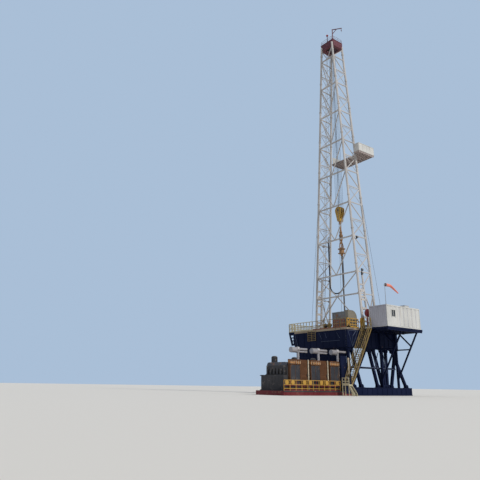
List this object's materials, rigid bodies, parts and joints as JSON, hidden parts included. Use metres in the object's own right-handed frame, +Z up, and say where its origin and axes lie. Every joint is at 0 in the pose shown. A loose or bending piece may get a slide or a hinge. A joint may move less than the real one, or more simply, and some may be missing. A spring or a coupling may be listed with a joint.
{
  "type": "one-tenth scale model of a land drilling rig",
  "caption": "Land drilling rig with a tapering lattice mast, raised drill floor, doghouse, racking board, travelling gear and an engine skid, at one tenth scale.",
  "frame": {"origin": "on the ground, in the middle of the rig's footprint", "axes": "+Z up along the mast, +X towards the doghouse, +Y towards the pipe side, so the engines lie towards -Y"},
  "size_m": [1.4, 2.13, 5.3335],
  "materials": {
    "navy_steel": "worn satin",
    "floor_plate": "worn, dusty",
    "table_steel": "oily",
    "yellow_rail": "weathered",
    "cabin_white": "satin",
    "cabin_grey": "satin",
    "cabin_glass": "dusty",
    "pole_steel": "satin",
    "sock_cloth": "woven",
    "mast_paint": "weathered",
    "crown_red": "weathered",
    "sheave_steel": "greasy",
    "board_paint": "dusty",
    "wire_rope": "greasy",
    "block_yellow": "worn",
    "hook_brown": "worn",
    "kelly_steel": "oily",
    "pipe_grey": "weathered",
    "hose_rubber": "matte",
    "hoist_grey": "worn",
    "guard_beige": "worn",
    "reel_red": "worn",
    "skid_red": "dusty",
    "engine_dark": "oily",
    "guard_brown": "rusty",
    "silencer_metal": "heat stained"
  },
  "bodies": {
    "rig": {"base_beams": "navy_steel", "front_spreader": "navy_steel", "rear_box": "navy_steel", "side_frames": "navy_steel", "cross_girders": "navy_steel", "drill_floor": "floor_plate", "rotary_table": "table_steel", "left_wing": "navy_steel", "floor_rails": "yellow_rail", "doghouse_deck": "navy_steel", "deck_brackets": "navy_steel", "doghouse_sides": "cabin_white", "doghouse_ends": "cabin_grey", "doghouse_roof": "cabin_white", "doghouse_window": "cabin_glass", "windsock_pole": "pole_steel", "stair_treads": "yellow_rail", "stair_sides": "yellow_rail", "stair_landing": "yellow_rail", "mast_feet": "mast_paint", "mast_left": "mast_paint", "mast_right": "mast_paint", "mast_rear": "mast_paint", "crown_frame": "crown_red", "crown_sheaves": "sheave_steel", "racking_board": "board_paint", "wind_wall": "mast_paint", "drilling_lines": "wire_rope", "mast_lines": "wire_rope", "standpipe": "pipe_grey", "rotary_hose": "hose_rubber", "drawworks": "hoist_grey", "chain_guard": "guard_beige", "hose_reel": "reel_red", "engine_skid": "skid_red", "engines": "engine_dark", "engine_guards": "guard_brown", "silencers": "silencer_metal"},
    "block": {"travelling_block": "block_yellow", "hook": "hook_brown", "swivel": "hook_brown"},
    "kelly": {"kelly": "kelly_steel"},
    "davit": {"crown_davit": "crown_red"},
    "windsock": {"windsock_frame": "pole_steel", "windsock_cloth": "sock_cloth"}
  },
  "joints": [
    {"name": "block_hoist", "type": "slide", "parent": "rig", "child": "block", "axis": [0, 0, 1], "range_m": [-0.45, 1.3], "deforming": ["drilling_lines", "rotary_hose"]},
    {"name": "kelly_spin", "type": "hinge", "parent": "block", "child": "kelly", "pos_m": [-0.142, 0.435, 1.77], "axis": [0, 0, 1], "continuous": true},
    {"name": "davit_slew", "type": "hinge", "parent": "rig", "child": "davit", "pos_m": [-0.033, 0.346, 5.145], "axis": [0, 0, 1], "range_deg": [-120, 120]},
    {"name": "windsock_turn", "type": "hinge", "parent": "rig", "child": "windsock", "pos_m": [0.68, 0.228, 1.24], "axis": [0, 0, 1], "continuous": true}
  ]
}
